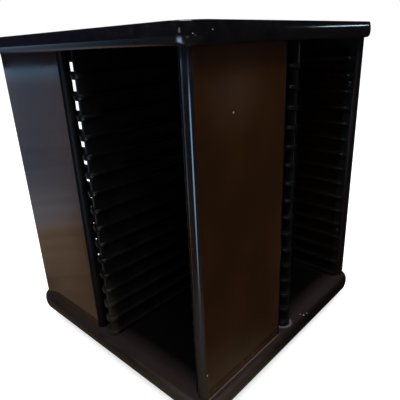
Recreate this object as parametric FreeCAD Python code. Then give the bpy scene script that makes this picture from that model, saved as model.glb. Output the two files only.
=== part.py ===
import FreeCAD, Part
import math
import os

# Rotating media tower: a four-sided case holder that turns on a ball bearing.
# Millimetres, +Z up, origin on the turning axis at the surface the tower stands on.
# Everything is drawn for the front (-Y) side and turned a quarter for the other three.

# ---- driving dimensions -------------------------------------------------------
side_names = ["front", "right", "back", "left"]

board_side = 308.0
board_thickness = 16.0
board_corner_radius = 25.0
board_overhang = 9.0
rim_crown_radius = 24.0
rim_crown_level = 7.2
rim_inner_radius = 4.0
rim_outer_radius = 1.0

bay_height = 306.0

panel_thickness = 12.0
panel_divider_gap = 8.0
lead_nosing_depth = 3.2
trail_nosing_depth = 6.0

slot_pitch = 18.8
first_ledge_top = 5.0
ledge_tip_height = 2.5
ledge_root_height = 5.6
rack_rail_width = 10.0

divider_web_left = -1.2
divider_web_right = 2.4
divider_web_setback = 2.0
divider_nose_radius = 8.0
divider_nose_centre = -2.0
divider_nose_tail = 3.0

side_rack_web_thickness = 2.4
side_rack_setback = 4.0
side_rack_ledge_reach = 7.5
screw_ledge_count = 3

groove_depth = 3.0

plinth_radius = 105.0
plinth_thickness = 12.0
plinth_edge_chamfer = 2.0
pad_radius = 10.0
pad_thickness = 2.0
pad_rim_inset = 7.0
pad_count = 4

bearing_height = 8.0
bearing_plate_side = 120.0
bearing_plate_thickness = 2.6
bearing_plate_corner_radius = 8.0
bearing_hole_inset = 10.0
race_depth = 1.0
ball_count = 12
ball_circle_radius = 40.0
cage_thickness = 1.2
cage_width = 9.0
eyelet_outer_radius = 29.0
eyelet_wall = 1.2
eyelet_flare = 3.0
eyelet_flare_thickness = 0.9

plate_screw_radius = 2.0
plate_screw_head_radius = 3.8
plate_screw_head_depth = 1.9
plate_screw_length = 12.0

panel_screw_radius = 2.0
panel_screw_head_radius = 4.0
panel_screw_head_depth = 2.4
panel_screw_length = 45.0

dowel_radius = 3.0
dowel_length = 24.0
dowel_depth_in_board = 9.0

rack_screw_radius = 1.5
rack_screw_head_radius = 3.0
rack_screw_head_height = 1.6
rack_screw_length = 9.0

fastener_inset = 28.0

# ---- clearances ---------------------------------------------------------------
seat_clearance = 0.15
fastener_clearance = 0.1
hole_end_clearance = 0.5
rack_end_clearance = 0.3
race_clearance = 0.05
eyelet_clearance = 0.35
cage_clearance = 0.15

# ---- levels and positions worked out from them --------------------------------
plinth_bottom = pad_thickness
plinth_top = plinth_bottom + plinth_thickness
board_bottom = plinth_top + bearing_height
bay_floor = board_bottom + board_thickness
bay_ceiling = bay_floor + bay_height
tower_top = bay_ceiling + board_thickness

case_half = board_side / 2 - board_overhang
panel_inner = case_half - panel_thickness
panel_middle = case_half - panel_thickness / 2
divider_nose_left = divider_nose_centre - divider_nose_radius
divider_nose_right = divider_nose_centre + divider_nose_radius
panel_end = divider_nose_left - panel_divider_gap
rack_back = divider_web_left - rack_end_clearance
slot_count = int((bay_height - first_ledge_top) / slot_pitch)
ledge_tops = [bay_floor + first_ledge_top + slot_pitch * n for n in range(slot_count)]
pad_circle_radius = plinth_radius - pad_rim_inset - pad_radius
ball_level = (plinth_top + board_bottom) / 2
ball_radius = (bearing_height - 2 * bearing_plate_thickness) / 2 + race_depth


# ---- helpers ------------------------------------------------------------------
def point(x, y, z=0.0):
    return FreeCAD.Vector(x, y, z)


def box(x0, x1, y0, y1, z0, z1):
    return Part.makeBox(x1 - x0, y1 - y0, z1 - z0, point(x0, y0, z0))


def cylinder(radius, z0, z1, x=0.0, y=0.0):
    return Part.makeCylinder(radius, z1 - z0, point(x, y, z0))


def prism(edges, height):
    return Part.Face(Part.Wire(edges)).extrude(point(0, 0, height))


def line(a, b):
    return Part.LineSegment(a, b).toShape()


def arc(a, middle, b):
    return Part.Arc(a, middle, b).toShape()


def quarter_turned(shape, quarters):
    turned = shape.copy()
    turned.rotate(point(0, 0), point(0, 0, 1), 90 * quarters)
    return turned


def all_sides(shape):
    return [quarter_turned(shape, quarters) for quarters in range(len(side_names))]


def rounded_plate(side, corner_radius, z0, thickness):
    plate = box(-side / 2, side / 2, -side / 2, side / 2, z0, z0 + thickness)
    uprights = [e for e in plate.Edges if abs(e.Vertexes[0].Z - e.Vertexes[1].Z) > thickness / 2]
    return plate.makeFillet(corner_radius, uprights)


def cut_all(body, tools):
    return body.cut(Part.makeCompound(tools)) if tools else body


def export(name, shape):
    shape.exportStep("parts/" + name + ".step")


# ---- top and bottom boards ----------------------------------------------------
def rim_rounding(half, level, radius, inward):
    """Three points of a rounding from the face at z = level, which lies inward of it, to the crown."""
    rise = level + inward * radius - rim_crown_level
    reach = math.sqrt((rim_crown_radius - radius) ** 2 - rise ** 2)
    centre = point(half - rim_crown_radius + reach, 0, level + inward * radius)
    to_face = point(0, 0, -inward)
    to_crown = point(reach, 0, rise).normalize()
    halfway = (to_face + to_crown).normalize()
    return [centre + direction * radius for direction in (to_face, halfway, to_crown)]


def rim_section():
    """A board's section in the XZ plane, from a corner's centre out to the rim there."""
    half = board_corner_radius
    inner = rim_rounding(half, 0, rim_inner_radius, 1)
    outer = rim_rounding(half, board_thickness, rim_outer_radius, -1)
    crest = point(half, 0, rim_crown_level)
    rim = [arc(*inner), arc(inner[-1], crest, outer[-1]), arc(*reversed(outer))]
    bottom = line(point(0, 0), inner[0])
    top = line(outer[0], point(0, 0, board_thickness))
    return Part.Face(Part.Wire([bottom] + rim + [top, line(point(0, 0, board_thickness), point(0, 0))]))


def plain_board():
    """A board with its inner face, the one toward the bays, at z = 0 and its outer face up."""
    straight = board_side / 2 - board_corner_radius
    core = box(-straight, straight, -straight, straight, 0, board_thickness)
    strip = rim_section()
    strip.translate(point(straight, -straight))
    strip = strip.extrude(point(0, 2 * straight, 0))
    corner = rim_section().revolve(point(0, 0), point(0, 0, 1), 90)
    corner.translate(point(straight, straight))
    return core.multiFuse(all_sides(strip) + all_sides(corner)).removeSplitter()


def divider_groove(z0, z1):
    return box(divider_web_left - seat_clearance, divider_web_right + seat_clearance,
               -case_half + divider_web_setback - seat_clearance, rack_back + seat_clearance, z0, z1)


def fastener_positions():
    first = -case_half + fastener_inset
    last = panel_end - fastener_inset
    return [(first, -panel_middle), (last, -panel_middle)]


def dowel_holes(radius, z0, z1):
    return [cylinder(radius, z0, z1, x, y) for x, y in fastener_positions()]


def top_board():
    grooves = all_sides(divider_groove(bay_ceiling, bay_ceiling + groove_depth))
    depth = dowel_depth_in_board + hole_end_clearance
    holes = []
    for hole in dowel_holes(dowel_radius + fastener_clearance, bay_ceiling, bay_ceiling + depth):
        holes += all_sides(hole)
    board = plain_board()
    board.translate(point(0, 0, bay_ceiling))
    return cut_all(board, grooves + holes)


def bottom_board():
    grooves = all_sides(divider_groove(bay_floor - groove_depth, bay_floor))
    holes = upper_plate_screws(fastener_clearance) + panel_screws(fastener_clearance)
    board = plain_board().mirror(point(0, 0), point(0, 0, 1))
    board.translate(point(0, 0, bay_floor))
    return cut_all(board, grooves + holes)


# ---- side panels and their edge nosings ---------------------------------------
def side_panel():
    core = box(-case_half + lead_nosing_depth, panel_end - trail_nosing_depth,
               -case_half, -panel_inner, bay_floor, bay_ceiling)
    holes = []
    dowel_bottom = bay_ceiling - (dowel_length - dowel_depth_in_board) - hole_end_clearance
    holes += dowel_holes(dowel_radius + fastener_clearance, dowel_bottom, bay_ceiling)
    return cut_all(core, holes + panel_screws(fastener_clearance) + side_rack_screw_holes())


def nosing(root, depth):
    """A rounded strip on a panel edge; its flat back is at x = root and it stands out by depth."""
    outer = point(root, -case_half, bay_floor)
    crown = point(root + depth, -panel_middle, bay_floor)
    inner = point(root, -panel_inner, bay_floor)
    return prism([arc(outer, crown, inner), line(inner, outer)], bay_height)


def lead_nosing():
    return nosing(-case_half + lead_nosing_depth, -lead_nosing_depth)


def trail_nosing():
    return nosing(panel_end - trail_nosing_depth, trail_nosing_depth)


# ---- divider racks: the webs that part the bays, with ledges and rounded noses -
def divider_nose(z0, height):
    """Plan of one ledge: a round nose at the front that runs back into the ledge."""
    left, right = divider_nose_left, divider_nose_right
    centre_y = -case_half + divider_nose_radius
    tail = centre_y + divider_nose_tail
    corners = [point(right, centre_y, z0), point(divider_nose_centre, -case_half, z0),
               point(left, centre_y, z0), point(left, tail, z0), point(divider_web_left, tail, z0),
               point(divider_web_left, rack_back, z0), point(right, rack_back, z0)]
    edges = [arc(corners[0], corners[1], corners[2])]
    edges += [line(corners[n], corners[n + 1]) for n in range(2, len(corners) - 1)]
    edges.append(line(corners[-1], corners[0]))
    return prism(edges, height)


def ledge_relief(root_x, tip_x, top):
    """The wedge taken from under a ledge, which leaves it thick at its root and thin at its tip."""
    tip_bottom = top - ledge_tip_height
    root_bottom = top - ledge_root_height
    corners = [point(root_x, 0, root_bottom), point(tip_x, 0, tip_bottom), point(tip_x, 0, root_bottom)]
    edges = [line(corners[n], corners[(n + 1) % 3]) for n in range(3)]
    wedge = Part.Face(Part.Wire(edges)).extrude(point(0, -2 * case_half, 0))
    return wedge


def divider_rack():
    front = -case_half + divider_web_setback
    tongue = groove_depth - seat_clearance
    web = box(divider_web_left, divider_web_right, front, rack_back,
              bay_floor - tongue, bay_ceiling + tongue)
    ledges = []
    for top in ledge_tops:
        bottom = max(top - ledge_root_height, bay_floor)
        ledge = divider_nose(bottom, top - bottom)
        if bottom > bay_floor:
            ledge = ledge.cut(ledge_relief(divider_web_right, divider_nose_right, top))
            ledge = ledge.cut(ledge_relief(divider_web_left, divider_nose_left, top))
        ledges.append(ledge)
    return web.multiFuse(ledges).removeSplitter()


# ---- side racks: ladders screwed to the inner faces of the panels -------------
def side_rack_rails():
    """Where the ladder's uprights lie along y, from the front of the bay to its back."""
    front = -case_half + side_rack_setback
    middle = (front - rack_rail_width) / 2
    back = rack_back - rack_rail_width
    return [front, middle, back]


def side_rack_ledge(z0, height):
    """Plan of one ledge: it grows out of the panel's face in a quarter round at the front."""
    root = panel_inner
    tip = panel_inner - side_rack_ledge_reach
    front = -case_half + side_rack_setback
    bend = side_rack_ledge_reach * (1 - math.sqrt(0.5))
    start = point(tip, front + side_rack_ledge_reach, z0)
    middle = point(tip + bend, front + bend, z0)
    end = point(root, front, z0)
    corners = [end, point(root, rack_back, z0), point(tip, rack_back, z0), start]
    edges = [arc(start, middle, end)]
    edges += [line(corners[n], corners[n + 1]) for n in range(len(corners) - 1)]
    return prism(edges, height)


def side_rack():
    web_face = panel_inner - side_rack_web_thickness
    tip = panel_inner - side_rack_ledge_reach
    rails = [box(web_face, panel_inner, y, y + rack_rail_width, bay_floor, bay_ceiling)
             for y in side_rack_rails()]
    ledges = []
    for top in ledge_tops:
        bottom = max(top - ledge_root_height, bay_floor)
        ledge = side_rack_ledge(bottom, top - bottom)
        if bottom > bay_floor:
            ledge = ledge.cut(ledge_relief(web_face, tip, top))
        ledges.append(ledge)
    top_bar = box(web_face, panel_inner, side_rack_rails()[0], rack_back,
                  bay_ceiling - rack_rail_width, bay_ceiling)
    rack = rails[0].multiFuse(rails[1:] + ledges + [top_bar]).removeSplitter()
    return cut_all(rack, side_rack_screws(fastener_clearance))


def side_rack_screw_places():
    """Centres on the two rails that the panel backs, in the gaps over two of the ledges."""
    gap_middle = (slot_pitch - ledge_root_height) / 2
    places = []
    for rail in side_rack_rails()[:2]:
        for n in (screw_ledge_count, slot_count - screw_ledge_count):
            places.append((rail + rack_rail_width / 2, ledge_tops[n] + gap_middle))
    return places


def side_rack_screws(clearance):
    """Round-head screws through a side rack's rails into the panel behind it."""
    face = panel_inner - side_rack_web_thickness
    screws = []
    for y, z in side_rack_screw_places():
        shank = Part.makeCylinder(rack_screw_radius + clearance, rack_screw_length + clearance,
                                  point(face, y, z), point(1, 0, 0))
        if clearance:
            screws.append(shank)
        else:
            head = Part.makeCylinder(rack_screw_head_radius, rack_screw_head_height,
                                     point(face, y, z), point(-1, 0, 0))
            screws.append(head.fuse(shank))
    return screws


def side_rack_screw_holes():
    """The same holes seen from the front panel, which carries the left side's rack."""
    return [quarter_turned(hole, -1) for hole in side_rack_screws(fastener_clearance)]


# ---- plinth, pads and ball bearing --------------------------------------------
def plinth():
    disc = cylinder(plinth_radius, plinth_bottom, plinth_top)
    upper_rim = [e for e in disc.Edges if e.Closed and e.BoundBox.ZMin > plinth_bottom]
    disc = disc.makeChamfer(plinth_edge_chamfer, upper_rim)
    return cut_all(disc, lower_plate_screws(fastener_clearance))


def plinth_pads():
    pads = []
    for n in range(pad_count):
        angle = math.radians(45 + 360 * n / pad_count)
        x = pad_circle_radius * math.cos(angle)
        y = pad_circle_radius * math.sin(angle)
        pads.append(cylinder(pad_radius, 0, pad_thickness, x, y))
    return Part.makeCompound(pads)


def race_ring():
    return Part.makeTorus(ball_circle_radius, ball_radius + race_clearance, point(0, 0, ball_level))


def bearing_plate(z0, hole_radius, screws):
    plate = rounded_plate(bearing_plate_side, bearing_plate_corner_radius, z0, bearing_plate_thickness)
    hole = cylinder(hole_radius, z0, z0 + bearing_plate_thickness)
    return cut_all(plate, [hole, race_ring()] + screws)


def lower_bearing_plate():
    hole_radius = eyelet_outer_radius + eyelet_clearance
    flare_room = eyelet_flare_thickness + 2 * eyelet_clearance
    room_radius = eyelet_outer_radius + eyelet_flare + eyelet_clearance
    room = cylinder(room_radius, plinth_top, plinth_top + flare_room)
    return bearing_plate(plinth_top, hole_radius, lower_plate_screws(fastener_clearance)).cut(room)


def upper_bearing_plate():
    """The upper plate's eyelet goes down through the lower plate and is flared under it."""
    z0 = board_bottom - bearing_plate_thickness
    inner_radius = eyelet_outer_radius - eyelet_wall
    foot = plinth_top + eyelet_clearance
    eyelet = cylinder(eyelet_outer_radius, foot, z0 + bearing_plate_thickness)
    flare = cylinder(eyelet_outer_radius + eyelet_flare, foot, foot + eyelet_flare_thickness)
    plate = bearing_plate(z0, inner_radius, upper_plate_screws(fastener_clearance))
    body = plate.multiFuse([eyelet, flare])
    return body.cut(cylinder(inner_radius, foot, board_bottom)).removeSplitter()


def ball_places():
    places = []
    for n in range(ball_count):
        angle = 2 * math.pi * n / ball_count
        places.append((ball_circle_radius * math.cos(angle), ball_circle_radius * math.sin(angle)))
    return places


def bearing_balls():
    balls = [Part.makeSphere(ball_radius, point(x, y, ball_level)) for x, y in ball_places()]
    return Part.makeCompound(balls)


def ball_cage():
    bottom = ball_level - cage_thickness / 2
    top = ball_level + cage_thickness / 2
    ring = cylinder(ball_circle_radius + cage_width / 2, bottom, top)
    tools = [cylinder(ball_circle_radius - cage_width / 2, bottom, top)]
    tools += [cylinder(ball_radius + cage_clearance, bottom, top, x, y) for x, y in ball_places()]
    return cut_all(ring, tools)


# ---- fasteners ----------------------------------------------------------------
def countersunk_screw(x, y, face, direction, sizes, clearance):
    """A screw whose head is flush with z = face and whose shank runs along direction in z."""
    radius, head_radius, head_depth, length = sizes
    axis = point(0, 0, direction)
    shank = Part.makeCylinder(radius + clearance, length + clearance, point(x, y, face), axis)
    head = Part.makeCone(head_radius + clearance, radius + clearance, head_depth, point(x, y, face), axis)
    return shank.fuse(head).removeSplitter()


def plate_screws(face, direction, clearance):
    sizes = (plate_screw_radius, plate_screw_head_radius, plate_screw_head_depth, plate_screw_length)
    half = bearing_plate_side / 2 - bearing_hole_inset
    corner = countersunk_screw(half, half, face, direction, sizes, clearance)
    return all_sides(corner)


def lower_plate_screws(clearance):
    return plate_screws(plinth_top + bearing_plate_thickness, -1, clearance)


def upper_plate_screws(clearance):
    return plate_screws(board_bottom - bearing_plate_thickness, 1, clearance)


def panel_screws(clearance):
    sizes = (panel_screw_radius, panel_screw_head_radius, panel_screw_head_depth, panel_screw_length)
    screws = []
    for x, y in fastener_positions():
        screws += all_sides(countersunk_screw(x, y, board_bottom, 1, sizes, clearance))
    return screws


def top_dowels():
    dowels = []
    bottom = bay_ceiling + dowel_depth_in_board - dowel_length
    for x, y in fastener_positions():
        dowels += all_sides(cylinder(dowel_radius, bottom, bottom + dowel_length, x, y))
    return Part.makeCompound(dowels)


def rack_screws():
    screws = []
    for screw in side_rack_screws(0):
        screws += all_sides(screw)
    return Part.makeCompound(screws)


# ---- the assembly -------------------------------------------------------------
def main():
    os.makedirs("parts", exist_ok=True)

    export("plinth", plinth())
    export("plinth_pads", plinth_pads())
    export("lower_bearing_plate", lower_bearing_plate())
    export("lower_plate_screws", Part.makeCompound(lower_plate_screws(0)))

    export("ball_cage", ball_cage())
    export("bearing_balls", bearing_balls())

    export("upper_bearing_plate", upper_bearing_plate())
    export("upper_plate_screws", Part.makeCompound(upper_plate_screws(0)))
    export("bottom_board", bottom_board())
    export("top_board", top_board())
    export("panel_screws", Part.makeCompound(panel_screws(0)))
    export("top_dowels", top_dowels())
    export("rack_screws", rack_screws())

    repeated = {"panel": side_panel(), "lead_nosing": lead_nosing(), "trail_nosing": trail_nosing(),
                "divider_rack": divider_rack(), "side_rack": side_rack()}
    for kind, shape in repeated.items():
        for side, turned in zip(side_names, all_sides(shape)):
            export(kind + "_" + side, turned)


main()
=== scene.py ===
"""Rotating media tower: finishes, moulded racks, screws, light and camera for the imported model."""
import math

import bpy
from mathutils import Matrix, Quaternion, Vector


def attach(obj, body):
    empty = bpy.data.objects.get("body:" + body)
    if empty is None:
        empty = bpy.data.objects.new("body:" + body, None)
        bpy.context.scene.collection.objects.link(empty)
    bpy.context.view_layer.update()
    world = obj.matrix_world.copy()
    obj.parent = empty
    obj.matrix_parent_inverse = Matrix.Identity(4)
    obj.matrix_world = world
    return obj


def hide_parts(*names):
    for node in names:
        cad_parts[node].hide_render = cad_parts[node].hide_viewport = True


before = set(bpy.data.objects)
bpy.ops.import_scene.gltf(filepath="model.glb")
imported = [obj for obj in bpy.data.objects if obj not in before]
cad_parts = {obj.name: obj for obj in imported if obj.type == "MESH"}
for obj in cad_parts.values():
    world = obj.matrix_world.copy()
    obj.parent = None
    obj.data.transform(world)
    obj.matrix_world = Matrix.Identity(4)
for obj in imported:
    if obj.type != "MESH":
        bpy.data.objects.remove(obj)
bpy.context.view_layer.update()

MM = 0.001
SIDES = ["front", "right", "back", "left"]
WHITE = (1.0, 1.0, 1.0)

# ---- the case, in millimetres ---------------------------------------------------
CASE_HALF = 145.0
PANEL_INNER = 133.0
PANEL_MIDDLE = 139.0
BOARD_BOTTOM = 22.0
LOWER_PLATE_TOP = 16.6
UPPER_PLATE_FACE = 19.4
PLATE_SCREW_PLACE = 50.0
PANEL_SCREW_PLACES = (-117.0, -46.0)
RACK_FACE = 130.6
RACK_SCREW_RAILS = (-136.0, -70.5)
RACK_SCREW_LEVELS = (106.0, 294.0)

# ---- racks and screws, in millimetres and degrees -------------------------------
RACK_WELD_GAP = 0.002
RACK_FLAT_ANGLE = 1
RACK_EDGE_ANGLE = 40
RACK_EDGE_ROUNDING = 0.35
RACK_EDGE_SEGMENTS = 2
SMOOTH_ANGLE = 35

RACK_SCREW = {"head_radius": 3.0, "head_height": 1.6, "shank_radius": 1.5, "length": 9.0,
              "countersunk": False}
PANEL_SCREW = {"head_radius": 4.0, "head_height": 2.4, "shank_radius": 2.0, "length": 45.0,
               "countersunk": True}
PLATE_SCREW = {"head_radius": 3.8, "head_height": 1.9, "shank_radius": 2.0, "length": 12.0,
               "countersunk": True}
SCREW_SIDES = 32
SCREW_TIP_LENGTH = 3.0
SCREW_TIP_END = 0.12                # share of the shank's radius
HEAD_ROUNDING = 0.62                # share of the head's height
HEAD_ROUNDING_SEGMENTS = 5
PUNCH_SIZE = (1.1, 0.28, 0.6)       # shares of the head's radius; half the height goes in
PUNCH_NOSE = 0.45                   # the punch's lower end, as a share of its upper one
FACING = 0.9                        # least part of a normal along an axis that it faces

# ---- marks of use: (place in millimetres, radius) --------------------------------
PANEL_NICKS = [((145.0, -98.7, 294.9), 0.9), ((145.0, -141.2, 66.8), 1.0)]
TOP_BOARD_CHIPS = [((146.4, -146.9, 349.6), 1.1), ((149.7, -143.0, 350.5), 0.9)]
TOP_BOARD_NICKS = [((153.9, -130.4, 353.7), 0.6), ((148.9, -144.3, 351.6), 0.5)]
RUBBED_EDGE = [((145.0, -20.5, 148.5), 5.0), ((145.0, -20.0, 142.0), 6.0),
               ((145.0, -21.0, 136.5), 4.5)]
BOTTOM_BOARD_NICKS = [((150.0, 25.0, 38.0), 1.0), ((146.5, 23.5, 38.0), 0.8),
                      ((151.0, 31.0, 38.0), 0.7)]

# ---- places that the wider marks lie round, in millimetres -----------------------
PANEL_HAZE = (145.0, -96.0, 316.0)
# A rubbed strip low on the near leading edge; its paler tone is a painted soft reflection.
RUBBED_SHEEN_STRIP = (139.0, -145.0, 80.0)
NEAR_CORNER = (150.0, -150.0, 32.0)
DIVIDER_FOOT = (137.0, -2.0, 38.0)
DIVIDER_PALE_PATCH = (-4.0, -143.0, 60.0)
# Radius of a painted bluish gleam round one divider's foot.
GLEAM_RING_RADIUS = 9.8
FOOT_LINE_OUT = 145.5

# ---- how they fade: from and to in millimetres, then the share that shows at each -
HAZE_FADE = (4.0, 45.0, 0.35, 0.0)
# The next two lay painted shade: on the panels' inner faces and under the top board.
PANEL_INSIDE_SHADE_FADE = (PANEL_INNER + 0.1, PANEL_INNER + 0.6, 0.8, 0.0)
UNDER_BOARD_SHADE_FADE = (316.0, 334.0, 0.0, 0.55)
PANEL_FOOT_UPWARD = (44.0, 50.0, 1.0, 0.0)
PANEL_FOOT_ALONG = (-75.0, -40.0, 1.0, 0.0)
RUBBED_SHEEN_STRIP_FADE = (55.0, 110.0, 1.0, 0.0)
# Painted shade on the bottom board's flat inside the case.
BOARD_INSIDE_SHADE_FADE = (121.0, 141.0, 0.97, 0.05)
RIM_FADE = (148.5, 151.5, 0.0, 1.0)
# The next two lay painted shade on the rim at the back.
RIM_BACK_OUTWARD = (140.0, 150.0, 0.0, 1.0)
RIM_BACK_ALONG = (-90.0, 40.0, 0.0, 0.80)
NEAR_CORNER_FADE = (30.0, 110.0, 0.6, 0.0)
FOOT_LINE_ACROSS = (0.3, 0.8, 0.8, 0.0)
FOOT_LINE_UPWARD = (37.4, 37.9, 0.0, 1.0)
FOOT_LINE_OUTWARD = (144.0, 144.5, 0.0, 1.0)
FOOT_LINE_ALONG = (-30.0, -20.0, 1.0, 0.0)
# A painted bluish gleam round one divider's foot.
GLEAM_RING_ACROSS = (0.6, 2.0, 0.9, 0.0)
DIVIDER_PALE_PATCH_FADE = (20.0, 60.0, 0.8, 0.0)
DIVIDER_PALE_PATCH_INWARD = (-139.0, -133.0, 1.0, 0.0)

# ---- tones; where there are several, each comes after its place on a ramp --------
PANEL_TONES = [(0.30, (0.0175, 0.0068, 0.0023)), (0.55, (0.0225, 0.0088, 0.0031)),
               (0.75, (0.0270, 0.0108, 0.0041))]
PANEL_CLOUD_TONE = (0.0110, 0.0042, 0.0015)
PANEL_HAZE_TONE = (0.0380, 0.0240, 0.0170)
# The next two are painted shade, on the panels' inner faces and under the top board.
PANEL_INSIDE_SHADE_TONE = (0.0015, 0.0010, 0.0007)
UNDER_BOARD_SHADE_TONE = (0.0040, 0.0020, 0.0010)
PANEL_FOOT_TONE = (0.0300, 0.0165, 0.0090)
PANEL_NICK_TONE = (0.30, 0.26, 0.21)

LACQUER_TONES = [(0.45, (0.0026, 0.0024, 0.0028)), (0.80, (0.0075, 0.0058, 0.0052))]
# The paler tone of the rubbed strip is a painted soft reflection.
RUBBED_SHEEN_STRIP_TONE = (0.0150, 0.0112, 0.0082)
CHIP_TONE = (0.022, 0.014, 0.010)
LACQUER_NICK_TONE = (0.20, 0.19, 0.17)

DULL_TONES = [(0.40, (0.0018, 0.0017, 0.0020)), (0.80, (0.0050, 0.0042, 0.0040))]
RUBBED_EDGE_TONE = (0.026, 0.015, 0.009)

BOARD_FLAT_TONES = [(0.35, (0.0130, 0.0086, 0.0078)), (0.65, (0.0195, 0.0130, 0.0118)),
                    (0.85, (0.0420, 0.0340, 0.0310))]
# Painted shade on the flat inside the case.
BOARD_INSIDE_SHADE_TONE = (0.0010, 0.0007, 0.0006)
RIM_TONES = [(0.35, (0.0060, 0.0040, 0.0034)), (0.62, (0.0150, 0.0080, 0.0058)),
             (0.82, (0.0300, 0.0160, 0.0115))]
# Painted shade at the back of the rim.
RIM_BACK_SHADE_TONE = (0.0030, 0.0012, 0.0007)
NEAR_CORNER_TONE = (0.0340, 0.0220, 0.0150)
FOOT_LINE_TONE = (0.200, 0.135, 0.105)
# A painted bluish gleam.
GLEAM_RING_TONE = (0.150, 0.145, 0.170)
BOARD_NICK_TONE = (0.25, 0.23, 0.21)

PLASTIC_TONES = [(0.35, (0.0014, 0.0014, 0.0014)), (0.75, (0.0046, 0.0044, 0.0042))]
DIVIDER_PALE_PATCH_TONE = (0.0160, 0.0130, 0.0090)
METAL_CLOUD_BRIGHTNESS = 0.8

# ---- gloss: roughness from smooth to rough, and how strongly the surface mirrors -
NOISE_SPAN = (0.3, 0.7)             # where most of a noise's values lie
SCUFF_SPAN = (0.35, 0.70)
PANEL_CLOUD_SHARES = (0.38, 0.62, 0.0, 0.8)
PANEL_ROUGHNESS = (0.06, 0.11)
PANEL_MIRROR = 0.45
LACQUER_ROUGHNESS = (0.06, 0.14)
RUBBED_SHEEN_STRIP_ROUGHNESS = 0.42
LACQUER_MIRROR = (0.5, 0.26)        # whole, and rubbed
DULL_ROUGHNESS = (0.34, 0.50)
DULL_MIRROR = 0.12
BOARD_ROUGHNESS = (0.42, 0.60)
BOARD_MIRROR = (0.25, 0.06)         # outside, and inside or at the back
PLASTIC_ROUGHNESS = (0.26, 0.40)
PLASTIC_MIRROR = 0.20
METAL_ROUGHNESS_SHARES = (0.7, 1.3)
PLAIN_ROUGHNESS_SHARES = (0.85, 1.1)
BUMP_DEPTH = 0.2                    # in millimetres, as is the next
BOARD_BUMP_DEPTH = 0.3
SPOT_EDGE_SCALE = 900
SPOT_CORE = 0.75                    # share of a spot's radius inside which all of it shows

# The sockets of a Mix node that carry colours.
MIX_INPUTS = (6, 7)
MIX_OUTPUT = 2

# ---- camera and stage, in metres; the lens in millimetres, the roll in degrees ---
CAMERA_PLACE = Vector((340.74, -347.78, 345.80)) * MM
CAMERA_TARGET = Vector((7.47, 7.01, 159.17)) * MM
CAMERA_ROLL = -2.54
CAMERA_LENS = 36.67
CAMERA_SENSOR = 36.0
CAMERA_SHIFT = (-0.0024, -0.0020)
CAMERA_CLIP_START = 0.01

FLOOR_HALF = 30.0
FLOOR_COLOUR = (0.80, 0.80, 0.80)
FLOOR_LIFT = 0.62
WORLD_TO_DIFFUSE = 0.55

# name, place, target, size, power in watts, colour, whether the gloss mirrors it
LAMPS = [
    ("window", (0.75, -0.85, 2.05), (0, 0, 0.2), (1.0, 0.7), 36, (0.92, 0.96, 1.0), True),
    ("overhead", (0.2, 0.2, 2.2), (0, 0, 0.2), (1.6, 1.6), 12, WHITE, False),
    ("far_window", (1.00, 2.11, 0.72), (0.15, 0.07, 0.35), (0.28, 0.035), 0.34,
     (0.70, 0.88, 1.0), True),
    ("near_window", (0.67, -1.60, 0.74), (0.14, -0.15, 0.35), (0.10, 0.40), 0.45,
     (0.90, 0.94, 1.0), True),
]

# ---- the dark cloth and screen that the gloss sees, in metres and plain colours --
CLOTH_LIFT = 0.0003
CLOTH_GLOW = (0.010, 0.007, 0.005)
SCREEN_RADIUS = 10.0
SCREEN_HEIGHT = 20.0
SCREEN_SIDES = 96
SCREEN_LIT_FROM = 12.0
SCREEN_LEFT_TO_RIGHT = (-2.0, 4.0)
SCREEN_GLOW_LEFT = (0.020, 0.025, 0.060)
SCREEN_GLOW_RIGHT = (0.006, 0.008, 0.014)

# The pool's colours come after how far they lie from the stand. The other ranges are
# from and to, then the share that shows at each.
POOL_NEAR, POOL_FAR = 0.2, 10.0
POOL_COLOURS = [(0.23, (0.10, 0.07, 0.05)), (0.33, (0.36, 0.25, 0.18)),
                (0.48, (0.47, 0.33, 0.23)), (0.58, (0.45, 0.46, 0.52)),
                (1.00, (0.21, 0.27, 0.38)), (4.50, (0.21, 0.31, 0.46)),
                (7.50, (0.35, 0.65, 1.00))]
POOL_TURN = (-0.6, -0.3, 0.0, -0.5)
POOL_LEFTWARD = (1.15, 1.9, 0.2, 1.0)
POOL_IN_FRONT = (-0.20, -0.13, 1.0, 0.0)
POOL_FOLDS = 16
POOL_FOLD_SHARES = (0.35, 0.65, 0.86, 1.14)
NEAREST_TO_CASE = -0.01

BEAM_COLOUR = (0.50, 0.70, 1.0)
BEAM_STRENGTH = 9.0
BEAM_ONE_SIDE = (-0.52, -0.42, 0.0, 1.0)
BEAM_OTHER_SIDE = (-0.26, -0.14, 1.0, 0.0)
BEAM_NEAR_END = (-0.75, -0.20, 1.0, 0.0)
BEAM_FAR_END = (-4.0, -2.0, 0.1, 1.0)

FOOT_GLOW = (0.225, 0.175, 0.11)
FOOT_GLOW_OUTWARD = (0.155, 0.222, 1.0, 0.0)
FOOT_GLOW_BACKWARD = (-0.060, 0.025, 1.0, 0.15)


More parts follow.
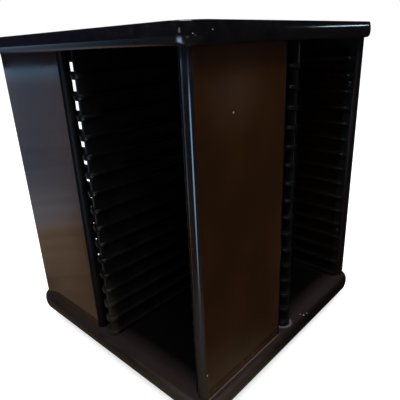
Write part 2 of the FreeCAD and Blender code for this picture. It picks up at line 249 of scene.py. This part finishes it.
# ---- node helpers ---------------------------------------------------------------
class Finish:
    """A material under construction: its node tree, main shader and object coordinates."""

    def __init__(self, name):
        self.material = bpy.data.materials.new(name)
        self.material.use_nodes = True
        self.nodes = self.material.node_tree.nodes
        self.links = self.material.node_tree.links
        self.shader = self.nodes["Principled BSDF"]
        self.place = self.nodes.new("ShaderNodeTexCoord").outputs["Object"]

    def new_node(self, kind, **numbers):
        node = self.nodes.new("ShaderNode" + kind)
        for name, number in numbers.items():
            node.inputs[name.replace("_", " ")].default_value = number
        return node

    def set(self, **values):
        for name, value in values.items():
            self.shader.inputs[name.replace("_", " ")].default_value = value

    def link(self, output, socket):
        self.links.new(output, self.shader.inputs[socket])

    def scaled(self, along_z):
        """The object coordinates with Z scaled; a small scale draws a pattern out upright."""
        node = self.new_node("Mapping", Scale=(1, 1, along_z))
        self.links.new(self.place, node.inputs["Vector"])
        return node.outputs["Vector"]

    def split(self):
        node = self.new_node("SeparateXYZ")
        self.links.new(self.place, node.inputs["Vector"])
        return [node.outputs[axis] for axis in "XYZ"]

    def noise(self, place, scale, detail, roughness=0.5, distortion=0.0):
        node = self.new_node("TexNoise", Scale=scale, Detail=detail, Roughness=roughness,
                             Distortion=distortion)
        self.links.new(place, node.inputs["Vector"])
        return node.outputs["Fac"]

    def ramp(self, value, stops):
        """A colour ramp; each stop is (position, colour)."""
        node = self.new_node("ValToRGB")
        steps = node.color_ramp.elements
        while len(steps) < len(stops):
            steps.new(0.5)
        for step, (position, colour) in zip(steps, stops):
            step.position = position
            step.color = (*colour, 1)
        self.links.new(value, node.inputs["Fac"])
        return node.outputs["Color"]

    def range(self, value, low, high, to_low, to_high):
        """to_low up to where value is low, to_high from where it is high, a blend between."""
        node = self.new_node("MapRange", From_Min=low, From_Max=high, To_Min=to_low,
                             To_Max=to_high)
        self.links.new(value, node.inputs["Value"])
        return node.outputs["Result"]

    def fade(self, place, low, high, to_low, to_high):
        """range() with low and high given in millimetres."""
        return self.range(place, low * MM, high * MM, to_low, to_high)

    def math(self, operation, a, b=0.0):
        node = self.new_node("Math")
        node.operation = operation
        for socket, value in zip(node.inputs, (a, b)):
            if isinstance(value, (int, float)):
                socket.default_value = value
            else:
                self.links.new(value, socket)
        return node.outputs["Value"]

    def product(self, total, *others):
        for other in others:
            total = self.math("MULTIPLY", total, other)
        return total

    def mix(self, factor, a, b):
        """Colour a where factor is 0 and b where it is 1; either may be a plain colour."""
        node = self.new_node("Mix")
        node.data_type = "RGBA"
        self.links.new(factor, node.inputs["Factor"])
        for index, value in zip(MIX_INPUTS, (a, b)):
            if isinstance(value, tuple):
                node.inputs[index].default_value = (*value, 1)
            else:
                self.links.new(value, node.inputs[index])
        return node.outputs[MIX_OUTPUT]

    def distance(self, centre):
        """How far a point of the surface is from centre, which is given in millimetres."""
        node = self.new_node("VectorMath")
        node.operation = "DISTANCE"
        self.links.new(self.place, node.inputs[0])
        node.inputs[1].default_value = Vector(centre) * MM
        return node.outputs["Value"]

    def outward(self, x, y):
        """How far a point is from the tower's axis, measured square to the nearest side."""
        return self.math("MAXIMUM", self.math("ABSOLUTE", x), self.math("ABSOLUTE", y))

    def off_line(self, value, line):
        """How far value is from line, which is given in millimetres."""
        return self.math("ABSOLUTE", self.math("SUBTRACT", value, line * MM))

    def spots(self, places, ragged):
        """1 inside ragged spots; each is (centre, radius) in millimetres."""
        edge = self.noise(self.place, SPOT_EDGE_SCALE, detail=3)
        total = 0.0
        for centre, radius in places:
            wobble = self.math("MULTIPLY", self.math("SUBTRACT", edge, 0.5), ragged * radius * MM)
            reach = self.math("ADD", self.distance(centre), wobble)
            spot = self.range(reach, SPOT_CORE * radius * MM, radius * MM, 1, 0)
            total = self.math("MAXIMUM", spot, total)
        return total

    def bump(self, height, strength, depth=BUMP_DEPTH):
        node = self.new_node("Bump", Strength=strength, Distance=depth * MM)
        self.links.new(height, node.inputs["Height"])
        self.link(node.outputs["Normal"], "Normal")


# ---- finishes -------------------------------------------------------------------
def brown_panel_finish():
    """Dark brown lacquer over a faint upright grain, with a haze and two pinhead nicks.

    It is painted darker, as shade, inside and under the top board, and it is paler in a narrow band
    at the near foot.
    """
    finish = Finish("brown_panel")
    grain = finish.noise(finish.scaled(along_z=0.04), scale=420, detail=5, roughness=0.6,
                         distortion=0.4)
    cloud = finish.noise(finish.scaled(along_z=0.6), scale=13, detail=3)
    tone = finish.ramp(grain, PANEL_TONES)
    tone = finish.mix(finish.range(cloud, *PANEL_CLOUD_SHARES), tone, PANEL_CLOUD_TONE)
    haze = finish.fade(finish.distance(PANEL_HAZE), *HAZE_FADE)
    tone = finish.mix(haze, tone, PANEL_HAZE_TONE)
    x, y, z = finish.split()
    # Painted shade: the inner faces go near black, and the panel darkens under the top board.
    inside = finish.fade(finish.outward(x, y), *PANEL_INSIDE_SHADE_FADE)
    tone = finish.mix(inside, tone, PANEL_INSIDE_SHADE_TONE)
    tone = finish.mix(finish.fade(z, *UNDER_BOARD_SHADE_FADE), tone, UNDER_BOARD_SHADE_TONE)
    at_foot = finish.product(finish.fade(z, *PANEL_FOOT_UPWARD),
                             finish.fade(y, *PANEL_FOOT_ALONG))
    tone = finish.mix(at_foot, tone, PANEL_FOOT_TONE)
    nicks = finish.spots(PANEL_NICKS, ragged=0.5)
    finish.link(finish.mix(nicks, tone, PANEL_NICK_TONE), "Base Color")
    finish.link(finish.range(cloud, *NOISE_SPAN, *PANEL_ROUGHNESS), "Roughness")
    finish.bump(grain, strength=0.02)
    finish.set(Specular_IOR_Level=PANEL_MIRROR)
    return finish.material


def black_lacquer_finish():
    """Glossy black lacquer: faint smears, chips where it is knocked, a rubbed foot with a painted
    reflection.
    """
    finish = Finish("black_lacquer")
    peel = finish.noise(finish.place, scale=260, detail=2)
    smear = finish.noise(finish.scaled(along_z=2), scale=22, detail=4, roughness=0.6)
    scuff = finish.noise(finish.place, scale=120, detail=6, roughness=0.7)
    tone = finish.ramp(scuff, LACQUER_TONES)
    # The rubbed strip is rougher and mirrors less; its paler tone is a painted soft reflection.
    rubbed = finish.fade(finish.distance(RUBBED_SHEEN_STRIP), *RUBBED_SHEEN_STRIP_FADE)
    tone = finish.mix(rubbed, tone, RUBBED_SHEEN_STRIP_TONE)
    chips = finish.spots(TOP_BOARD_CHIPS, ragged=1.6)
    nicks = finish.spots(TOP_BOARD_NICKS, ragged=0.8)
    tone = finish.mix(chips, tone, CHIP_TONE)
    finish.link(finish.mix(nicks, tone, LACQUER_NICK_TONE), "Base Color")
    gloss = finish.range(smear, *SCUFF_SPAN, *LACQUER_ROUGHNESS)
    dulled = finish.product(rubbed, RUBBED_SHEEN_STRIP_ROUGHNESS)
    finish.link(finish.math("MAXIMUM", gloss, dulled), "Roughness")
    finish.link(finish.range(rubbed, 0.0, 1.0, *LACQUER_MIRROR), "Specular IOR Level")
    finish.bump(peel, strength=0.03)
    return finish.material


def dull_black_finish():
    """The same black lacquer rubbed dull, on the edges that hands brush as cases go in and out."""
    finish = Finish("dull_black")
    rub = finish.noise(finish.scaled(along_z=0.5), scale=90, detail=6, roughness=0.7)
    worn = finish.spots(RUBBED_EDGE, ragged=0.9)
    finish.link(finish.mix(worn, finish.ramp(rub, DULL_TONES), RUBBED_EDGE_TONE), "Base Color")
    finish.link(finish.range(rub, *SCUFF_SPAN, *DULL_ROUGHNESS), "Roughness")
    finish.bump(rub, strength=0.04)
    finish.set(Specular_IOR_Level=DULL_MIRROR)
    return finish.material


def worn_lacquer_finish():
    """The bottom board's black lacquer: dusty on the flat, rubbed to reddish brown at the rim.

    The flat is painted darker inside the case, as shade. The rim is paler at the near corner and
    painted darker at the back, as shade. A pale line lies along one panel's foot, and a painted
    bluish gleam lies in a ring round one divider's foot.
    """
    finish = Finish("worn_lacquer")
    x, y, z = finish.split()
    out = finish.outward(x, y)
    scuff = finish.noise(finish.scaled(along_z=2.5), scale=70, detail=8, roughness=0.7)
    dust = finish.noise(finish.place, scale=420, detail=5, roughness=0.7)

    # Painted shade: the flat turns near black inside the case.
    inside = finish.fade(out, *BOARD_INSIDE_SHADE_FADE)
    flat = finish.mix(inside, finish.ramp(dust, BOARD_FLAT_TONES), BOARD_INSIDE_SHADE_TONE)

    # Painted shade: the rim darkens towards the back.
    at_back = finish.product(finish.fade(x, *RIM_BACK_OUTWARD), finish.fade(y, *RIM_BACK_ALONG))
    rim = finish.mix(at_back, finish.ramp(scuff, RIM_TONES), RIM_BACK_SHADE_TONE)
    near_corner = finish.fade(finish.distance(NEAR_CORNER), *NEAR_CORNER_FADE)
    rim = finish.mix(near_corner, rim, NEAR_CORNER_TONE)
    tone = finish.mix(finish.fade(out, *RIM_FADE), flat, rim)

    by_panel = finish.product(finish.fade(x, *FOOT_LINE_OUTWARD),
                              finish.fade(y, *FOOT_LINE_ALONG))
    foot_line = finish.product(finish.fade(finish.off_line(out, FOOT_LINE_OUT), *FOOT_LINE_ACROSS),
                               finish.fade(z, *FOOT_LINE_UPWARD), by_panel, dust)
    tone = finish.mix(foot_line, tone, FOOT_LINE_TONE)

    # A painted bluish gleam in a ring round one divider's foot, broken up by the dust noise.
    off_ring = finish.off_line(finish.distance(DIVIDER_FOOT), GLEAM_RING_RADIUS)
    ring = finish.product(finish.fade(off_ring, *GLEAM_RING_ACROSS), dust)
    tone = finish.mix(ring, tone, GLEAM_RING_TONE)

    nicks = finish.spots(BOTTOM_BOARD_NICKS, ragged=0.6)
    finish.link(finish.mix(nicks, tone, BOARD_NICK_TONE), "Base Color")
    finish.link(finish.range(scuff, *SCUFF_SPAN, *BOARD_ROUGHNESS), "Roughness")
    dull = finish.math("MAXIMUM", inside, at_back)
    finish.link(finish.range(dull, 0.0, 1.0, *BOARD_MIRROR), "Specular IOR Level")
    finish.bump(scuff, strength=0.06, depth=BOARD_BUMP_DEPTH)
    return finish.material


def rack_plastic_finish():
    """Moulded black plastic with a fine grain, paler and brownish at the foot of one divider's edge.
    """
    finish = Finish("rack_plastic")
    grain = finish.noise(finish.place, scale=900, detail=2)
    mottle = finish.noise(finish.scaled(along_z=0.4), scale=60, detail=6, roughness=0.7)
    y = finish.split()[1]
    # A paler brownish patch at the foot of one divider's front edge.
    dusty = finish.product(finish.fade(finish.distance(DIVIDER_PALE_PATCH), *DIVIDER_PALE_PATCH_FADE),
                           finish.fade(y, *DIVIDER_PALE_PATCH_INWARD))
    tone = finish.mix(dusty, finish.ramp(mottle, PLASTIC_TONES), DIVIDER_PALE_PATCH_TONE)
    finish.link(tone, "Base Color")
    finish.link(finish.range(mottle, *NOISE_SPAN, *PLASTIC_ROUGHNESS), "Roughness")
    finish.bump(grain, strength=0.10)
    finish.set(Specular_IOR_Level=PLASTIC_MIRROR)
    return finish.material


def metal_finish(name, colour, rough):
    """Bare or plated metal, a little clouded in colour and in gloss."""
    finish = Finish(name)
    streak = finish.noise(finish.place, scale=300, detail=3)
    cloud = finish.noise(finish.place, scale=40, detail=2)
    darker = tuple(channel * METAL_CLOUD_BRIGHTNESS for channel in colour)
    finish.link(finish.mix(cloud, colour, darker), "Base Color")
    smooth_to_rough = [rough * share for share in METAL_ROUGHNESS_SHARES]
    finish.link(finish.range(streak, *NOISE_SPAN, *smooth_to_rough), "Roughness")
    finish.set(Metallic=1.0)
    return finish.material


def plain_finish(name, light, dark, scale, rough, bump_scale):
    """Nylon, rubber and bare beech: two close tones and a fine surface."""
    finish = Finish(name)
    cloud = finish.noise(finish.place, scale, detail=4)
    low, high = NOISE_SPAN
    finish.link(finish.ramp(cloud, [(low, dark), (high, light)]), "Base Color")
    smooth_to_rough = [rough * share for share in PLAIN_ROUGHNESS_SHARES]
    finish.link(finish.range(cloud, low, high, *smooth_to_rough), "Roughness")
    finish.bump(finish.noise(finish.place, bump_scale, detail=2), strength=0.15)
    return finish.material


def give(material, nodes):
    for node in nodes:
        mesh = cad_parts[node].data
        mesh.materials.clear()
        mesh.materials.append(material)


def dress_nodes():
    give(brown_panel_finish(), ["panel_" + side for side in SIDES])
    lacquer = black_lacquer_finish()
    give(lacquer, ["top_board", "plinth"])
    give(lacquer, ["lead_nosing_" + side for side in SIDES])
    give(dull_black_finish(), ["trail_nosing_" + side for side in SIDES])
    give(worn_lacquer_finish(), ["bottom_board"])
    give(metal_finish("zinc_steel", (0.62, 0.63, 0.65), rough=0.32),
         ["lower_bearing_plate", "upper_bearing_plate"])
    give(metal_finish("ball_steel", (0.78, 0.78, 0.80), rough=0.10), ["bearing_balls"])
    give(plain_finish("nylon", light=(0.80, 0.78, 0.72), dark=(0.70, 0.68, 0.62), scale=60,
                      rough=0.5, bump_scale=800), ["ball_cage"])
    give(plain_finish("beech", light=(0.62, 0.42, 0.25), dark=(0.50, 0.32, 0.18), scale=90,
                      rough=0.7, bump_scale=500), ["top_dowels"])
    give(plain_finish("rubber_pad", light=(0.030, 0.030, 0.030), dark=(0.018, 0.018, 0.018),
                      scale=70, rough=0.8, bump_scale=900), ["plinth_pads"])


# ---- modelling helpers ----------------------------------------------------------
def pick_only(piece):
    bpy.ops.object.select_all(action="DESELECT")
    piece.select_set(True)
    bpy.context.view_layer.objects.active = piece


def pick_end(piece, way):
    """Goes into edit mode with only the faces selected that face up (1) or down (-1)."""
    bpy.ops.object.mode_set(mode="EDIT")
    bpy.ops.mesh.select_all(action="DESELECT")
    bpy.ops.object.mode_set(mode="OBJECT")
    for face in piece.data.polygons:
        face.select = way * face.normal.z > FACING
    bpy.ops.object.mode_set(mode="EDIT")


def extrude(length):
    """Draws the selected faces out along Z by length, which is given in millimetres."""
    bpy.ops.mesh.extrude_region_move(TRANSFORM_OT_translate={"value": (0, 0, length * MM)})


def widen(share):
    bpy.ops.transform.resize(value=(share, share, 1))


def apply_modifier(piece, kind, **settings):
    pick_only(piece)
    modifier = piece.modifiers.new(kind.lower(), kind)
    for name, value in settings.items():
        setattr(modifier, name, value)
    bpy.ops.object.modifier_apply(modifier=modifier.name)


def smooth(piece):
    pick_only(piece)
    bpy.ops.object.shade_smooth_by_angle(angle=math.radians(SMOOTH_ANGLE))


def finish_piece(piece, name, material, body, node):
    piece.name = name
    piece.data.materials.clear()
    piece.data.materials.append(material)
    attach(piece, body)
    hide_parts(node)


# ---- moulded racks --------------------------------------------------------------
def mould_rack(node, material):
    """The rack again in one skin, its edges eased as they come out of the mould."""
    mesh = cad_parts[node].data.copy()
    rack = bpy.data.objects.new(node + "_moulding", mesh)
    bpy.context.scene.collection.objects.link(rack)
    pick_only(rack)
    bpy.ops.object.mode_set(mode="EDIT")
    bpy.ops.mesh.select_all(action="SELECT")
    bpy.ops.mesh.remove_doubles(threshold=RACK_WELD_GAP * MM)
    bpy.ops.mesh.dissolve_limited(angle_limit=math.radians(RACK_FLAT_ANGLE))
    bpy.ops.object.mode_set(mode="OBJECT")
    apply_modifier(rack, "BEVEL", width=RACK_EDGE_ROUNDING * MM, segments=RACK_EDGE_SEGMENTS,
                   limit_method="ANGLE", angle_limit=math.radians(RACK_EDGE_ANGLE))
    smooth(rack)
    finish_piece(rack, node + "_moulding", material, "tower", node)


# ---- screws ---------------------------------------------------------------------
def recess_cutter(head_radius, face):
    """A cross-shaped punch over the middle of a screw head whose face is at height face."""
    bars = []
    for turn in (0, 90):
        bpy.ops.object.select_all(action="DESELECT")
        bpy.ops.mesh.primitive_cube_add(size=1, location=(0, 0, face * MM))
        bar = bpy.context.object
        bpy.ops.transform.resize(value=tuple(share * head_radius * MM for share in PUNCH_SIZE))
        bpy.ops.object.transform_apply(location=False, rotation=False, scale=True)
        pick_end(bar, -1)
        widen(PUNCH_NOSE)
        bpy.ops.object.mode_set(mode="OBJECT")
        bar.rotation_euler.z = math.radians(turn)
        bpy.ops.object.transform_apply(location=True, rotation=True, scale=True)
        bars.append(bar)
    apply_modifier(bars[0], "BOOLEAN", operation="UNION", object=bars[1], solver="EXACT")
    bpy.data.objects.remove(bars[1])
    return bars[0]


def turn_screw(head_radius, head_height, shank_radius, length, countersunk):
    """A screw along Z, its seat or its flush face at the origin and its tip below."""
    head_root = -head_height if countersunk else 0.0
    tip_top = SCREW_TIP_LENGTH - length
    shank = head_root - tip_top
    bpy.ops.object.select_all(action="DESELECT")
    bpy.ops.mesh.primitive_cylinder_add(vertices=SCREW_SIDES, radius=shank_radius * MM,
                                        depth=shank * MM,
                                        location=(0, 0, (head_root + tip_top) / 2 * MM))
    screw = bpy.context.object
    bpy.ops.object.transform_apply(location=True, rotation=True, scale=True)

    pick_end(screw, -1)
    extrude(-SCREW_TIP_LENGTH)
    widen(SCREW_TIP_END)
    bpy.ops.object.mode_set(mode="OBJECT")

    pick_end(screw, 1)
    spread = head_radius / shank_radius
    if countersunk:
        extrude(head_height)
        widen(spread)
    else:
        extrude(0)
        widen(spread)
        extrude(head_height)
        bpy.ops.mesh.bevel(offset=HEAD_ROUNDING * head_height * MM,
                           segments=HEAD_ROUNDING_SEGMENTS, affect="EDGES")
    bpy.ops.object.mode_set(mode="OBJECT")

    cutter = recess_cutter(head_radius, face=0.0 if countersunk else head_height)
    apply_modifier(screw, "BOOLEAN", operation="DIFFERENCE", object=cutter, solver="EXACT")
    bpy.data.objects.remove(cutter)
    smooth(screw)
    return screw


def set_screws(pattern, places, name, material, body, node):
    """Copies of the pattern screw joined in one piece; places are (place in mm, head's way)."""
    copies = []
    for place, facing in places:
        screw = pattern.copy()
        screw.data = pattern.data.copy()
        bpy.context.scene.collection.objects.link(screw)
        turn = Vector((0, 0, 1)).rotation_difference(Vector(facing)).to_matrix().to_4x4()
        screw.data.transform(Matrix.Translation(Vector(place) * MM) @ turn)
        copies.append(screw)
    pick_only(copies[0])
    for screw in copies[1:]:
        screw.select_set(True)
    bpy.ops.object.join()
    bpy.data.objects.remove(pattern)
    finish_piece(copies[0], name, material, body, node)


def on_all_sides(place, facing):
    """The place and facing given for the front side, turned a quarter for each of the others."""
    turns = [Matrix.Rotation(math.radians(90 * quarter), 4, "Z") for quarter in range(len(SIDES))]
    return [(turn @ Vector(place), turn @ Vector(facing)) for turn in turns]


def fit_screws():
    zinc = metal_finish("zinc_screws", (0.60, 0.61, 0.62), rough=0.30)
    black = metal_finish("black_steel", (0.05, 0.05, 0.05), rough=0.40)

    rack_places = []
    for along in RACK_SCREW_RAILS:
        for level in RACK_SCREW_LEVELS:
            rack_places += on_all_sides((RACK_FACE, along, level), (-1, 0, 0))
    set_screws(turn_screw(**RACK_SCREW), rack_places, "rack_screws_turned", black,
               "tower", "rack_screws")

    panel_places = []
    for along in PANEL_SCREW_PLACES:
        panel_places += on_all_sides((along, -PANEL_MIDDLE, BOARD_BOTTOM), (0, 0, -1))
    set_screws(turn_screw(**PANEL_SCREW), panel_places, "panel_screws_turned", zinc,
               "tower", "panel_screws")

    corner = (PLATE_SCREW_PLACE, PLATE_SCREW_PLACE)
    set_screws(turn_screw(**PLATE_SCREW), on_all_sides((*corner, LOWER_PLATE_TOP), (0, 0, 1)),
               "lower_plate_screws_turned", zinc, "base", "lower_plate_screws")
    set_screws(turn_screw(**PLATE_SCREW), on_all_sides((*corner, UPPER_PLATE_FACE), (0, 0, -1)),
               "upper_plate_screws_turned", zinc, "tower", "upper_plate_screws")


# ---- light, floor and camera ----------------------------------------------------
def background_ray(nodes, links):
    """1 for the rays that see the white background: camera, glossy and transmission rays."""
    path = nodes.new("ShaderNodeLightPath")
    seen = path.outputs["Is Camera Ray"]
    for kind in ("Is Glossy Ray", "Is Transmission Ray"):
        either = nodes.new("ShaderNodeMath")
        either.operation = "MAXIMUM"
        links.new(seen, either.inputs[0])
        links.new(path.outputs[kind], either.inputs[1])
        seen = either.outputs["Value"]
    return seen


def background_strength(nodes, links, unseen, seen):
    """seen for the rays that see the white background, and unseen for all the others."""
    node = nodes.new("ShaderNodeMapRange")
    node.inputs["To Min"].default_value = unseen
    node.inputs["To Max"].default_value = seen
    links.new(background_ray(nodes, links), node.inputs["Value"])
    return node.outputs["Result"]


def light_world():
    world = bpy.data.worlds.new("studio")
    bpy.context.scene.world = world
    world.use_nodes = True
    nodes, links = world.node_tree.nodes, world.node_tree.links
    strength = background_strength(nodes, links, WORLD_TO_DIFFUSE, 1.0)
    links.new(strength, nodes["Background"].inputs["Strength"])
    nodes["Background"].inputs["Color"].default_value = (*WHITE, 1)


def glow(finish, colour, strength=1.0):
    light = finish.new_node("Emission")
    for socket, value in (("Color", colour), ("Strength", strength)):
        if isinstance(value, tuple):
            light.inputs[socket].default_value = (*value, 1)
        elif isinstance(value, float):
            light.inputs[socket].default_value = value
        else:
            finish.links.new(value, light.inputs[socket])
    return light.outputs["Emission"]


def surface_of(finish, layers):
    """Makes the sum of the layers the surface, in place of the main shader."""
    total = layers[0]
    for layer in layers[1:]:
        both = finish.new_node("AddShader")
        finish.links.new(total, both.inputs[0])
        finish.links.new(layer, both.inputs[1])
        total = both.outputs["Shader"]
    finish.nodes.remove(finish.shader)
    finish.links.new(total, finish.nodes["Material Output"].inputs["Surface"])


def lay_plane(name, size, height):
    bpy.ops.object.select_all(action="DESELECT")
    bpy.ops.mesh.primitive_plane_add(size=size, location=(0, 0, height))
    bpy.context.object.name = name
    return bpy.context.object


def lay_floor():
    floor = lay_plane("studio_floor", 2 * FLOOR_HALF, 0)
    finish = Finish("pale_floor")
    paint = finish.new_node("BsdfDiffuse", Color=(*FLOOR_COLOUR, 1))
    lift = background_strength(finish.nodes, finish.links, 0.0, FLOOR_LIFT)
    surface_of(finish, [paint.outputs["BSDF"], glow(finish, WHITE, lift)])
    floor.data.materials.append(finish.material)


def keep_to_gloss(cloth):
    """The cloth is seen by glossy rays alone: it lights nothing, shades nothing, never shows."""
    cloth.visible_camera = False
    cloth.visible_diffuse = False
    cloth.visible_transmission = False
    cloth.visible_volume_scatter = False
    cloth.visible_shadow = False


def in_front_of_case(finish, y):
    """How far a point of the cloth lies beyond the front of the case, as a number below 0."""
    return finish.math("MINIMUM", finish.math("ADD", y, CASE_HALF * MM), NEAREST_TO_CASE)


def light_pool(finish, x, y):
    """Daylight on the cloth in front and to the left: warm by the stand, cool and bright far off.

    The colour changes with the distance from the stand, and faint folds cross it.
    """
    away = finish.math("SQRT", finish.math("ADD", finish.product(x, x), finish.product(y, y)))
    decades = finish.math("LOGARITHM", finish.math("MAXIMUM", away, POOL_NEAR), 10.0)
    low, high = math.log10(POOL_NEAR), math.log10(POOL_FAR)
    stops = [((math.log10(reach) - low) / (high - low), colour) for reach, colour in POOL_COLOURS]
    colour = finish.ramp(finish.range(decades, low, high, 0, 1), stops)
    aslant = finish.math("DIVIDE", x, in_front_of_case(finish, y))
    turned = finish.math("ADD", aslant, finish.range(y, *POOL_TURN))
    leftward = finish.range(turned, *POOL_LEFTWARD)
    in_front = finish.range(y, *POOL_IN_FRONT)
    folds = finish.range(finish.noise(decades, POOL_FOLDS, detail=1), *POOL_FOLD_SHARES)
    return colour, finish.product(leftward, in_front, folds)


def window_beam(finish, x, y):
    """How strong the window's light lies on the cloth straight in front of the near corner."""
    past_corner = finish.math("SUBTRACT", x, CASE_HALF * MM)
    aslant = finish.math("DIVIDE", past_corner, in_front_of_case(finish, y))
    across = finish.product(finish.range(aslant, *BEAM_ONE_SIDE),
                            finish.range(aslant, *BEAM_OTHER_SIDE))
    along = finish.product(finish.range(y, *BEAM_NEAR_END), finish.range(y, *BEAM_FAR_END))
    return finish.product(across, along, BEAM_STRENGTH)


def foot_glow(finish, x, y):
    """How strong the light is that the cloth catches close round the stand."""
    return finish.product(finish.range(finish.outward(x, y), *FOOT_GLOW_OUTWARD),
                          finish.range(y, *FOOT_GLOW_BACKWARD))


def lay_cloth():
    """A dark cloth over the floor with daylight lying on it, for the lacquer to mirror."""
    cloth = lay_plane("dark_cloth", 2 * SCREEN_RADIUS + 1, CLOTH_LIFT)
    finish = Finish("dark_cloth")
    x, y, _ = finish.split()
    surface_of(finish, [glow(finish, CLOTH_GLOW),
                        glow(finish, *light_pool(finish, x, y)),
                        glow(finish, FOOT_GLOW, foot_glow(finish, x, y)),
                        glow(finish, BEAM_COLOUR, window_beam(finish, x, y))])
    cloth.data.materials.append(finish.material)
    keep_to_gloss(cloth)


def stand_screen():
    """A round dark screen, open and brightening at the top, for the lacquer to mirror."""
    bpy.ops.object.select_all(action="DESELECT")
    bpy.ops.mesh.primitive_cylinder_add(vertices=SCREEN_SIDES, radius=SCREEN_RADIUS,
                                        depth=SCREEN_HEIGHT, end_fill_type="NOTHING",
                                        location=(0, 0, SCREEN_HEIGHT / 2))
    screen = bpy.context.object
    screen.name = "dark_screen"
    finish = Finish("dark_screen")
    x, _, z = finish.split()
    lit = finish.range(z, SCREEN_LIT_FROM, SCREEN_HEIGHT, 0.0, 1.0)
    rightward = finish.range(x, *SCREEN_LEFT_TO_RIGHT, 0.0, 1.0)
    dark = finish.mix(rightward, SCREEN_GLOW_LEFT, SCREEN_GLOW_RIGHT)
    surface_of(finish, [glow(finish, finish.mix(lit, dark, WHITE))])
    screen.data.materials.append(finish.material)
    keep_to_gloss(screen)


def hang_lamp(name, place, target, size, power, colour, in_gloss):
    lamp = bpy.data.lights.new(name, "AREA")
    lamp.shape = "RECTANGLE"
    lamp.size, lamp.size_y = size
    lamp.energy = power
    lamp.color = colour
    holder = bpy.data.objects.new(name, lamp)
    bpy.context.scene.collection.objects.link(holder)
    holder.location = place
    holder.rotation_euler = (Vector(target) - Vector(place)).to_track_quat("-Z", "Y").to_euler()
    holder.visible_camera = False
    holder.visible_glossy = in_gloss


def set_camera():
    data = bpy.data.cameras.new("view")
    data.lens = CAMERA_LENS
    data.sensor_width = CAMERA_SENSOR
    data.shift_x, data.shift_y = CAMERA_SHIFT
    data.clip_start = CAMERA_CLIP_START
    camera = bpy.data.objects.new("view", data)
    bpy.context.scene.collection.objects.link(camera)
    camera.rotation_mode = "QUATERNION"
    camera.location = CAMERA_PLACE
    level = (CAMERA_TARGET - CAMERA_PLACE).to_track_quat("-Z", "Y")
    camera.rotation_quaternion = level @ Quaternion((0, 0, 1), math.radians(CAMERA_ROLL))
    bpy.context.scene.camera = camera


def main():
    bpy.context.scene.view_settings.view_transform = "Standard"
    set_camera()
    light_world()
    lay_floor()
    lay_cloth()
    stand_screen()
    for lamp in LAMPS:
        hang_lamp(*lamp)
    dress_nodes()
    plastic = rack_plastic_finish()
    for side in SIDES:
        mould_rack("divider_rack_" + side, plastic)
        mould_rack("side_rack_" + side, plastic)
    fit_screws()


main()
